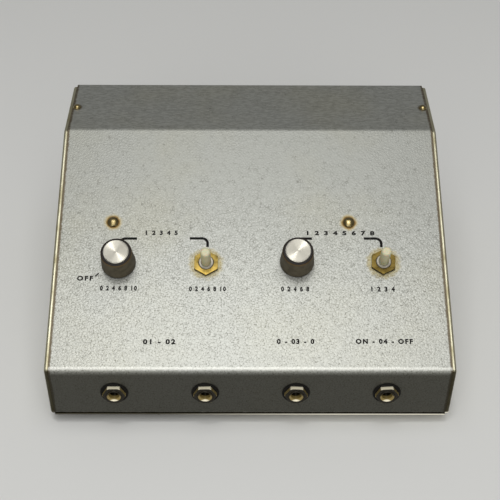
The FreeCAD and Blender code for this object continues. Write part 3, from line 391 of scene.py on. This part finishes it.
# Phenolic moulding: dark brown and matt, black round the rim and the foot, with a warmer brown
# painted along the edge under the rim as a highlight.
def phenolic():
    material, tree, shader, coords = start_finish(
        "brown_phenolic_moulding", "#4d4737", 0.0, 0.55, Specular_IOR_Level=0.25)
    out = height_on_panel(tree, coords)
    patches = add(tree, "TexNoise", {"Vector": coords, "Scale": per_metre(4.0), "Detail": 4.0})
    grain = add(tree, "TexNoise", {"Vector": coords, "Scale": per_metre(0.6), "Detail": 2.0})
    colour = specks(tree, linear("#585140"), patches, 0.38, 0.68, 0.75, "#423b2c")
    from_rim = add(tree, "Math", {0: KNOB_TOP * MM, 1: out}, operation="SUBTRACT")
    # painted highlight: a warmer brown on the rounded edge under the rim
    colour = stain(tree, colour, ragged(tree, from_rim, patches, 0.4), 0.9, 2.2, 0.6, "#664d22")
    colour = stain(tree, colour, from_rim, 0.15, 0.35, 1.0, "#17110a")
    colour = stain(tree, colour, out, 1.1, 2.0, 0.6, "#16120d")
    surface(tree, shader, colour, grain, 0.01, 0.4)
    return material


# Spun aluminium: turning leaves fine rings, so its shine opens into a fan.
def spun_aluminium():
    material, tree, shader, coords = start_finish(
        "spun_aluminium", "#9c998f", 1.0, 0.3, Anisotropic=1.0)
    rings_map = add(tree, "UVMap", uv_map="turning")
    tree.links.new(add(tree, "Tangent", direction_type="UV_MAP", uv_map="turning"),
                   shader.inputs["Tangent"])
    radius = add(tree, "SeparateXYZ", {0: rings_map})
    # the map's radius is in centimetres, so these rings are about 0.36 mm wide and finer: coarser
    # than real ones, so that they show
    rings = add(tree, "TexNoise", {"W": radius, "Scale": 28.0, "Detail": 3.0}, noise_dimensions="1D")
    surface(tree, shader, specks(tree, linear("#9c998f"), rings, 0.35, 0.65, 0.5, "#8b887e"), rings,
            0.008, 0.3)
    return material


# Natural nylon: a milky cream plastic that lets light in, olive and darker low down.
def natural_nylon():
    material, tree, shader, coords = start_finish(
        "natural_nylon", "#c6c09f", 0.0, 0.45, Subsurface_Weight=0.3, Subsurface_Scale=0.002)
    out = height_on_panel(tree, coords)
    blots = add(tree, "TexNoise", {"Vector": coords, "Scale": per_metre(1.5), "Detail": 3.0})
    colour = specks(tree, linear("#c6c09f"), blots, 0.6, 0.75, 0.35, "#9c8e5c")
    colour = stain(tree, colour, out, 3.0, 12.0, 0.5, "#9c925e")
    surface(tree, shader, colour, blots, 0.03, 0.4)
    return material


# Turned brass, tarnished: gold towards the lowest corners of two nuts, olive brown elsewhere, and the sides of the
# nuts painted dark as shade.
def tarnished_brass():
    material, tree, shader, coords = start_finish("tarnished_brass", "#7b6a38", 1.0, 0.42)
    patches = add(tree, "TexNoise", {"Vector": coords, "Scale": per_metre(2.5), "Detail": 4.0})
    turning = add(tree, "TexNoise", {"Vector": coords, "Scale": per_metre(0.5), "Detail": 2.0})
    colour = specks(tree, linear("#7d6b38"), patches, 0.4, 0.7, 0.8, "#51441f")
    # brighter gold towards the lowest corner of the second and fourth nuts
    for step, solid, faded, amount in ((2, 3.5, 11.0, 0.9), (4, 1.0, 7.0, 0.3)):
        x, rise = CONTROLS[step]
        from_corner = nearest(tree, coords, [on_panel(x, rise - 8.7, 2.0)])
        colour = stain(tree, colour, from_corner, solid, faded, amount, "#b3984e")
    # the fourth nut is the dullest
    to_fourth = nearest(tree, coords, [on_panel(*CONTROLS[4])])
    colour = stain(tree, colour, to_fourth, 10.0, 12.0, 0.5, "#3d3216")
    # painted shade: the sides of the nuts darkened, their top faces left bright
    colour = stain(tree, colour, height_on_panel(tree, coords), 1.3, 1.75, 0.85, "#241c0b")
    surface(tree, shader, colour, turning, 0.01, 0.4)
    return material


def painted_bore_light(tree, up, from_face):
    """The bore of a jack: brass low down, with painted shade above its axis and deep inside, and a painted
    highlight on its lower lip.
    """
    # painted shade: black deep inside, then over the upper half
    bore = specks(tree, linear("#93804c"), from_face, 2.7 * MM, 3.7 * MM, 0.97, "#0b0803")
    bore = specks(tree, bore, up, (JACK_HEIGHT - 0.5) * MM, (JACK_HEIGHT + 1.5) * MM, 0.95, "#0b0803")
    under = add(tree, "Math", {0: (JACK_HEIGHT - 3.1) * MM, 1: up}, operation="SUBTRACT")
    # painted highlight on the lower lip of the mouth
    return specks(tree, bore, under, 0.0, 0.6 * MM, 0.9, "#f2e9cd")


# Nickel plate on turned brass: olive with tarnish, with a painted highlight along the top and painted shade,
# nearly black, on the face that meets the plug.
def tarnished_nickel_with_painted_light():
    material, tree, shader, coords = start_finish("worn_nickel_on_brass", "#a89c78", 0.6, 0.42)
    patches = add(tree, "TexNoise", {"Vector": coords, "Scale": per_metre(2.0), "Detail": 4.0})
    colour = specks(tree, linear("#8d7d50"), patches, 0.4, 0.7, 0.5, "#6d5f38")
    up = add(tree, "SeparateXYZ", {0: coords}, out=2)
    # painted highlight along the top
    colour = specks(tree, colour, up, (JACK_HEIGHT + 5.2) * MM, (JACK_HEIGHT + 6.1) * MM, 0.95, "#efe7cc")
    back = add(tree, "SeparateXYZ", {0: coords}, out=1)
    from_face = add(tree, "Math", {0: back, 1: (FRONT_FACE - JACK_NUT_FACE) * MM}, operation="SUBTRACT")
    # painted shade: the front face nearly black
    colour = stain(tree, colour, ragged(tree, from_face, patches, 0.15), 0.06, 0.35, 1.0, "#1c170a")
    face_on = add(tree, "VectorMath", {0: coords, 1: (1.0, 0.0, 1.0)}, operation="MULTIPLY")
    to_axis = nearest(tree, face_on, [Vector((x, 0.0, JACK_HEIGHT)) * MM for x in JACKS.values()])
    outside = add(tree, "MapRange", {"Value": to_axis, "From Min": 4.2 * MM, "From Max": 4.5 * MM})
    tree.links.new(add(tree, "MapRange", {"Value": outside, "To Min": 0.15, "To Max": 0.5}),
                   shader.inputs["Metallic"])
    colour = add(tree, "Mix", {0: outside, 6: painted_bore_light(tree, up, from_face), 7: colour}, out=2,
                 data_type="RGBA")
    surface(tree, shader, colour, patches, 0.02, 0.3)
    return material


# Die-cast zinc: dull pale grey and slightly grainy.
def die_cast_zinc():
    material, tree, shader, coords = start_finish("die_cast_zinc", "#a39d90", 0.55, 0.5)
    patches = add(tree, "TexNoise", {"Vector": coords, "Scale": per_metre(1.5), "Detail": 4.0})
    grain = add(tree, "TexNoise", {"Vector": coords, "Scale": per_metre(0.3), "Detail": 2.0})
    colour = specks(tree, linear("#aaa598"), patches, 0.4, 0.7, 0.8, "#8b8577")
    surface(tree, shader, colour, grain, 0.01, 0.4)
    return material


# a worn finish has its colour and its worn colour, how metallic and how rough it is, and then the
# width of its patches, the width of its grain and the depth of its grain in millimetres
FINISHES = {
    "hammered_enamel": hammered_enamel(),
    "tray_plate": passivated_zinc(),
    "spun_aluminium": spun_aluminium(),
    "nylon": natural_nylon(),
    "phenolic": phenolic(),
    "brass": tarnished_brass(),
    "nickel": tarnished_nickel_with_painted_light(),
    "die_cast": die_cast_zinc(),
    # steel, browned with rust and polish: dark and fairly glossy, so a lamp shows as a small spot
    "browned_steel": worn_finish("browned_steel", "#9a8a5c", "#6e5f34", 1.0, 0.25, 2.5, 0.5, 0.003,
                                 Coat_Weight=0.7, Coat_Roughness=0.12),
    # black rubber, moulded: dull, with a grey bloom of dust
    "foot_rubber": worn_finish("moulded_rubber", "#1c1c1c", "#2b2a28", 0.0, 0.75, 3, 0.5, 0.05),
    # bright zinc plate on pressed steel: grey with pale frosted patches
    "zinc_steel": worn_finish("zinc_plated_steel", "#a7a8a6", "#7f8080", 1.0, 0.42, 3.0, 0.6, 0.01),
    # vulcanised fibre, punched: black, dull and slightly furry
    "fibre": worn_finish("vulcanised_fibre", "#0b0b09", "#12100c", 0.0, 0.75, 2.0, 0.3, 0.02,
                         Specular_IOR_Level=0.2),
    # paper laminate, pressed: brown, with faint clouds of resin
    "laminate": worn_finish("paper_laminate", "#7a4f2a", "#5f3b1d", 0.0, 0.4, 6.0, 0.5, 0.01),
    # phosphor bronze strip, rolled: reddish gold
    "spring_bronze": worn_finish("phosphor_bronze_strip", "#b4784a", "#8a5a36", 1.0, 0.3, 2.0, 0.3, 0.01),
    # enamelled copper, wound: bright red-brown
    "copper_wire": worn_finish("enamelled_copper_winding", "#b0643a", "#8a4a2a", 0.8, 0.3, 1.0, 0.2, 0.03),
    # silicon iron laminations, stacked: dark grey with a hint of rust
    "iron": worn_finish("silicon_iron_laminations", "#4c4a48", "#5c4434", 0.9, 0.5, 2.0, 0.35, 0.03),
    # carbon rods in a ceramic coat: tan and matt
    "ceramic": worn_finish("coated_carbon_rod", "#b39a70", "#94794f", 0.0, 0.55, 1.0, 0.3, 0.01),
    # printed card, waxed: plain blue, paler where it is rubbed
    "card": worn_finish("waxed_blue_card", "#2d4470", "#3d5580", 0.0, 0.5, 9.0, 0.8, 0.02),
    # extruded pvc: smooth red, slightly waxy
    "wire_cover": worn_finish("extruded_pvc", "#93281f", "#7c1f18", 0.0, 0.35, 4.0, 0.4, 0.005),
}
# silk-screened ink: black, thin, dull and slightly worn
SCREEN_INK = worn_finish("screen_ink", "#0b0b0a", "#1a1815", 0.0, 0.7, 0.8, 0.3, 0.005,
                         Specular_IOR_Level=0.15)

for part in frame["record"]["subparts"]:
    for material_slot in frame["nodes"][part["node"]].material_slots:
        material_slot.material = FINISHES[part["material_slot"]]

# ---------------------------------------------------------------------------
# Pieces
# ---------------------------------------------------------------------------

# corners flatter than this are shaded smooth
SOFT_CORNER = math.radians(40)


def finish_piece(bm, name, body, slot, stands_for=(), material=None):
    """Makes the mesh an object of the part: its finish, the body it rides on and what it replaces."""
    mesh = bpy.data.meshes.new(name)
    bm.to_mesh(mesh)
    bm.free()
    mesh.shade_smooth()
    mesh.set_sharp_from_angle(angle=SOFT_CORNER)
    mesh.materials.append(material or FINISHES[slot])
    piece = bpy.data.objects.new(name, mesh)
    bpy.context.scene.collection.objects.link(piece)
    weighted = piece.modifiers.new("flat_faces_stay_flat", "WEIGHTED_NORMAL")
    weighted.keep_sharp = True
    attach(piece, body)
    if stands_for:
        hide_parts(*stands_for)


def dress(node, name, edge_mm, steps=2, join_flats=True):
    """A merged copy of a solid with its sharp edges broken, in its place."""
    bm = bmesh.new()
    bm.from_mesh(frame["nodes"][node].data)
    bmesh.ops.remove_doubles(bm, verts=bm.verts, dist=0.001 * MM)
    if join_flats:
        bmesh.ops.dissolve_limit(bm, verts=bm.verts, edges=bm.edges, angle_limit=math.radians(0.3))
    sharp = [edge for edge in bm.edges
             if edge.is_manifold and edge.calc_face_angle() > math.radians(30)]
    bmesh.ops.bevel(bm, geom=sharp, offset=edge_mm * MM, offset_type="OFFSET", segments=steps,
                    profile=0.5, affect="EDGES", material=-1, clamp_overlap=True)
    part = next(part for part in frame["record"]["subparts"] if part["node"] == node)
    body = next(body for body, nodes in frame["record"]["behaviour"]["bodies"].items() if node in nodes)
    finish_piece(bm, name, body, part["material_slot"], (node,))


def turned(outline, steps=72, closed=False):
    """Turns an outline of (radius, height[, rounding]) points, in millimetres, about Z."""
    bm = bmesh.new()
    verts = [bm.verts.new((point[0] * MM, 0.0, point[1] * MM)) for point in outline]
    ends = verts[1:] + verts[:1] if closed else verts[1:]
    for first, second in zip(verts, ends):
        bm.edges.new((first, second))
    for vert, point in zip(verts, outline):
        if len(point) > 2:
            bmesh.ops.bevel(bm, geom=[vert], offset=point[2] * MM, offset_type="OFFSET", segments=4,
                            profile=0.5, affect="VERTICES", material=-1, clamp_overlap=True)
    bmesh.ops.spin(bm, geom=bm.verts[:] + bm.edges[:], cent=(0, 0, 0), axis=(0, 0, 1),
                   angle=math.tau, steps=steps, use_merge=True, use_duplicate=False)
    bmesh.ops.remove_doubles(bm, verts=bm.verts, dist=0.002 * MM)
    bmesh.ops.recalc_face_normals(bm, faces=bm.faces)
    return bm


def placed(bm, place):
    bmesh.ops.transform(bm, matrix=place, verts=bm.verts)
    return bm


def together(parts):
    """One bmesh of several."""
    whole = bmesh.new()
    for part in parts:
        mesh = bpy.data.meshes.new("part")
        part.to_mesh(mesh)
        part.free()
        whole.from_mesh(mesh)
        bpy.data.meshes.remove(mesh)
    return whole


def hexagon_nut(flats, height, bore, chamfer_from):
    """A nut turned from hexagon bar: a chamfered disc cut to six flats, with a corner on +Y."""
    # the disc is a little wider than the corners, so that the flats meet in them
    corner = flats / math.sqrt(3) + 0.3
    drop = (corner - chamfer_from) * math.tan(math.radians(30))
    low = [(bore, 0.25), (bore + 0.25, 0.0), (corner, 0.0)]
    high = [(corner, height - drop), (chamfer_from, height), (bore + 0.25, height), (bore, height - 0.25)]
    bm = turned(low + high, steps=120, closed=True)
    for side in range(6):
        angle = math.radians(60 * side)
        outward = Vector((math.cos(angle), math.sin(angle), 0.0))
        cut = bmesh.ops.bisect_plane(bm, geom=bm.verts[:] + bm.edges[:] + bm.faces[:],
                                     plane_co=outward * flats / 2 * MM, plane_no=outward, clear_outer=True)
        rim = [part for part in cut["geom_cut"] if isinstance(part, bmesh.types.BMEdge)]
        bmesh.ops.contextual_create(bm, geom=rim)
    bmesh.ops.recalc_face_normals(bm, faces=bm.faces)
    return bm


def dome(radius, height):
    """A smooth low dome standing on Z = 0."""
    bm = bmesh.new()
    bmesh.ops.create_uvsphere(bm, u_segments=48, v_segments=24, radius=1.0)
    bmesh.ops.scale(bm, vec=(radius * MM, radius * MM, height * MM), verts=bm.verts)
    cut = bmesh.ops.bisect_plane(bm, geom=bm.verts[:] + bm.edges[:] + bm.faces[:],
                                 plane_co=(0, 0, 0.02 * MM), plane_no=(0, 0, -1), clear_outer=True)
    rim = [part for part in cut["geom_cut"] if isinstance(part, bmesh.types.BMEdge)]
    bmesh.ops.contextual_create(bm, geom=rim)
    bmesh.ops.recalc_face_normals(bm, faces=bm.faces)
    return bm


def cap_disc():
    """The spun cap of a knob: a dished disc with a rolled rim, mapped by radius and by turn."""
    bm = turned([(0, 16.0), (8.08, 16.0), (8.08, 17.58, 0.3), (7.7, 17.6, 0.15), (7.4, 17.5, 0.2),
                 (3.5, 17.43), (0, 17.4)], steps=96)
    layer = bm.loops.layers.uv.new("turning")
    for face in bm.faces:
        centre = face.calc_center_median()
        middle = math.atan2(centre.y, centre.x)
        for loop in face.loops:
            spot = loop.vert.co
            angle = math.atan2(spot.y, spot.x) if spot.to_2d().length > 1e-6 else middle
            angle += math.tau * round((middle - angle) / math.tau)
            loop[layer].uv = (spot.to_2d().length / MM / 10, angle / math.tau + 0.5)
    return bm


# how each nut was left turned, in degrees
NUT_TURNS = {1: 0, 2: 0, 3: 0, 4: -4}
JACK_NUT_TURNS = {1: 30, 2: 32, 3: 27, 4: 35}

dress("top_cover", "folded_cover", 0.25)
dress("base_tray", "folded_tray", 0.3)
for step in KNOBBED:
    dress(f"knob_body_{step}", f"knob_moulding_{step}", 0.2, 3)
    finish_piece(placed(cap_disc(), panel_place(*CONTROLS[step])), f"knob_disc_{step}",
                 f"control_{step}", "spun_aluminium", (f"knob_cap_{step}",))
    dress(f"knob_screw_{step}", f"grub_screw_{step}", 0.08)
for step in BARE:
    dress(f"pot_shaft_{step}", f"nylon_shaft_{step}", 0.15, 3)
for step in JACKS:
    dress(f"jack_frame_{step}", f"jack_body_{step}", 0.12, join_flats=False)

finish_piece(together([placed(hexagon_nut(flats=15.0, height=2.0, bore=4.78, chamfer_from=8.2),
                              panel_place(x, rise, NUT_TURNS[step]))
                       for step, (x, rise) in CONTROLS.items()]),
             "control_nuts", "case", "brass", ("pot_nuts",))
finish_piece(together([placed(hexagon_nut(flats=12.7, height=JACK_NUT_FACE - WASHER, bore=4.78,
                                          chamfer_from=6.6),
                              jack_place(x, WASHER, JACK_NUT_TURNS[step]))
                       for step, x in JACKS.items()]),
             "jack_hexagons", "case", "nickel", ("jack_nuts",))
dress("jack_washers", "fibre_washers", 0.15)
dress("pot_bushes", "threaded_bushes", 0.12)
finish_piece(together([placed(dome(BOLT_HEAD, 2.03), panel_place(x, rise)) for x, rise in BOLTS]),
             "panel_bolts", "case", "browned_steel", ("tank_bolts",))
finish_piece(together([placed(dome(RIVET_HEAD, 2.2), Matrix.Translation(Vector(spot) * MM))
                       for spot in RIVETS]),
             "top_rivets", "case", "browned_steel", ("cover_top_rivets",))
dress("cover_base_screws", "floor_screws", 0.12)
dress("foot_screws", "foot_fixings", 0.12)
dress("rubber_feet", "feet", 0.5, 3)

# ---------------------------------------------------------------------------
# Printing on the panel: plain numbers, OFF and the lines between the controls
# ---------------------------------------------------------------------------

INK = 0.02
# the height of the font's capitals as a share of its size
CAPITALS = 0.729

# text, the middle of its place (x, rise), and its width and height
PRINT = (
    ("1 2 3 4 5", -57.8, 94.4, 20.8, 3.3), ("1 2 3 4 5 6 7 8", 58.2, 94.4, 43.9, 3.3),
    ("OFF", -105.2, 62.2, 10.3, 3.5), ("0 2 4 6 8 10", -83.6, 55.4, 23.4, 3.45),
    ("0 2 4 6 8 10", -27.2, 55.0, 23.4, 3.45), ("0 2 4 6 8", 28.4, 55.0, 17.9, 3.5),
    ("1 2 3 4", 83.8, 55.0, 15.0, 3.5), ("01 - 02", -56.5, 19.5, 20.1, 3.45),
    ("0 - 03 - 0", 28.0, 19.8, 23.2, 3.45), ("ON - 04 - OFF", 83.0, 19.9, 35.5, 3.45),
)


def lettering(text, width, height):
    """Flat capitals or figures of a given width and height, centred on the origin."""
    curve = bpy.data.curves.new("lettering", "FONT")
    curve.body = text
    curve.align_x = "CENTER"
    curve.align_y = "CENTER"
    curve.size = height / CAPITALS * MM
    # bold strokes, set apart so that they don't run together
    curve.offset = 0.24 * MM
    curve.space_character = 1.35
    curve.extrude = INK * MM
    curve.resolution_u = 4
    carrier = bpy.data.objects.new("lettering", curve)
    mesh = bpy.data.meshes.new_from_object(carrier)
    bm = bmesh.new()
    bm.from_mesh(mesh)
    bmesh.ops.remove_doubles(bm, verts=bm.verts, dist=0.001 * MM)
    fit = [wanted * MM / (max(reach) - min(reach)) for wanted, reach in
           ((width, [vert.co.x for vert in bm.verts]), (height, [vert.co.y for vert in bm.verts]))]
    bmesh.ops.scale(bm, vec=(*fit, 1.0), verts=bm.verts)
    bpy.data.objects.remove(carrier)
    bpy.data.curves.remove(curve)
    bpy.data.meshes.remove(mesh)
    return bm


def printed_line(x, rise, length, bend=0.0, drop=0.0, width=1.7):
    """A flat line along X from (x, rise), then a quarter bend down the slope and a straight drop."""
    bm = bmesh.new()
    ends = [bm.verts.new((x * MM, (rise + side * width / 2) * MM, 2 * INK * MM)) for side in (-1, 1)]
    stroke = [bm.edges.new(ends)]

    def lengthen(edges, move):
        drawn = bmesh.ops.extrude_edge_only(bm, edges=edges)["geom"]
        bmesh.ops.translate(bm, vec=Vector(move) * MM,
                            verts=[part for part in drawn if isinstance(part, bmesh.types.BMVert)])
        return [part for part in drawn if isinstance(part, bmesh.types.BMEdge) and len(part.link_faces) == 1
                and all(vert in drawn for vert in part.verts)]
    stroke = lengthen(stroke, (length, 0.0, 0.0))
    if bend:
        side = math.copysign(1.0, length)
        centre = Vector((x + length, rise - bend, 0.0)) * MM
        spun = bmesh.ops.spin(bm, geom=stroke, cent=centre, axis=(0, 0, -side),
                              angle=math.radians(90), steps=10)["geom_last"]
        lengthen([part for part in spun if isinstance(part, bmesh.types.BMEdge)], (0.0, -drop, 0.0))
    bmesh.ops.remove_doubles(bm, verts=bm.verts, dist=0.001 * MM)
    bmesh.ops.recalc_face_normals(bm, faces=bm.faces)
    bmesh.ops.solidify(bm, geom=bm.faces[:], thickness=INK * MM)
    bmesh.ops.recalc_face_normals(bm, faces=bm.faces)
    return bm


panel = panel_place(0.0, 0.0)
marks = [placed(lettering(text, width, height), Matrix.Translation(Vector((x, rise, INK)) * MM))
         for text, x, rise, width, height in PRINT]
marks += [printed_line(-73.3, 90.4, -7.4, 3.6, 2.0), printed_line(-39.2, 90.6, 8.0, 3.6, 2.6),
          printed_line(40.0, 90.6, -6.4, 3.6, 2.0), printed_line(73.6, 90.7, 7.5, 3.6, 2.6)]
tick = printed_line(0.0, 0.0, 3.0, width=0.8)
marks.append(placed(tick, Matrix.Translation(Vector((-98.8, 63.8, 0.0)) * MM)
                    @ Matrix.Rotation(math.radians(45), 4, "Z")))
finish_piece(placed(together(marks), panel), "panel_print", "case", "fibre", material=SCREEN_INK)

# ---------------------------------------------------------------------------
# Floor, light and camera
# ---------------------------------------------------------------------------

floor_mesh = bmesh.new()
bmesh.ops.create_circle(floor_mesh, cap_ends=True, segments=64, radius=14.0)
floor_data = bpy.data.meshes.new("floor")
floor_mesh.to_mesh(floor_data)
floor_mesh.free()
floor = bpy.data.objects.new("floor", floor_data)
bpy.context.scene.collection.objects.link(floor)
# matt paper, pale and plain
paper, paper_tree, paper_shader, paper_coords = start_finish("plain_paper", "#cfcfcc", 0.0, 0.9)
fibres = add(paper_tree, "TexNoise", {"Vector": paper_coords, "Scale": per_metre(4), "Detail": 2.0})
fine = add(paper_tree, "Bump", {"Height": fibres, "Strength": 0.2, "Distance": 0.02 * MM})
paper_tree.links.new(fine, paper_shader.inputs["Normal"])
floor_data.materials.append(paper)

world = bpy.data.worlds.new("studio")
world.use_nodes = True
world.node_tree.nodes["Background"].inputs["Color"].default_value = linear("#ffffff")
world.node_tree.nodes["Background"].inputs["Strength"].default_value = 0.22
bpy.context.scene.world = world


def softbox(name, spot, width, length, brightness):
    """A soft light at spot facing the case. Its brightness is that of its face, in W/m2/sr."""
    data = bpy.data.lights.new(name, "AREA")
    data.shape = "RECTANGLE"
    data.size = width
    data.size_y = length
    data.energy = brightness * math.pi * width * length
    lamp = bpy.data.objects.new(name, data)
    lamp.location = spot
    lamp.rotation_euler = (Vector((0.0, 0.0, 60 * MM)) - Vector(spot)).to_track_quat("-Z", "Y").to_euler()
    bpy.context.scene.collection.objects.link(lamp)


softbox("overhead", (0.0, -0.5, 1.8), 1.3, 1.9, 2.9)
softbox("front", (0.0, -2.1, 1.1), 2.2, 1.2, 1.9)
softbox("glint", (-0.1, -0.3, 1.9), 0.16, 0.16, 40.0)

# the camera looks 41 degrees down from in front of the middle
EYE = Vector((-4.033, -536.266, 524.856)) * MM
PITCH, YAW, ROLL = (math.radians(angle) for angle in (41.2699, -0.4327, 0.3871))
sideways = Matrix.Rotation(YAW, 3, "Z")
forward = sideways @ Vector((0.0, math.cos(PITCH), -math.sin(PITCH)))
right = sideways @ Vector((1.0, 0.0, 0.0))
up = sideways @ Vector((0.0, math.sin(PITCH), math.cos(PITCH)))
axis_x = math.cos(ROLL) * right + math.sin(ROLL) * up
axis_y = -math.sin(ROLL) * right + math.cos(ROLL) * up
turn = Matrix((axis_x, axis_y, -forward)).transposed().to_4x4()
camera_data = bpy.data.cameras.new("camera")
camera_data.lens = 75.085
camera_data.sensor_width = 36.0
camera_data.sensor_fit = "HORIZONTAL"
camera_data.clip_start = 0.01
camera = bpy.data.objects.new("camera", camera_data)
camera.matrix_world = Matrix.Translation(EYE) @ turn
bpy.context.scene.collection.objects.link(camera)
bpy.context.scene.camera = camera
bpy.context.scene.view_settings.view_transform = "Standard"
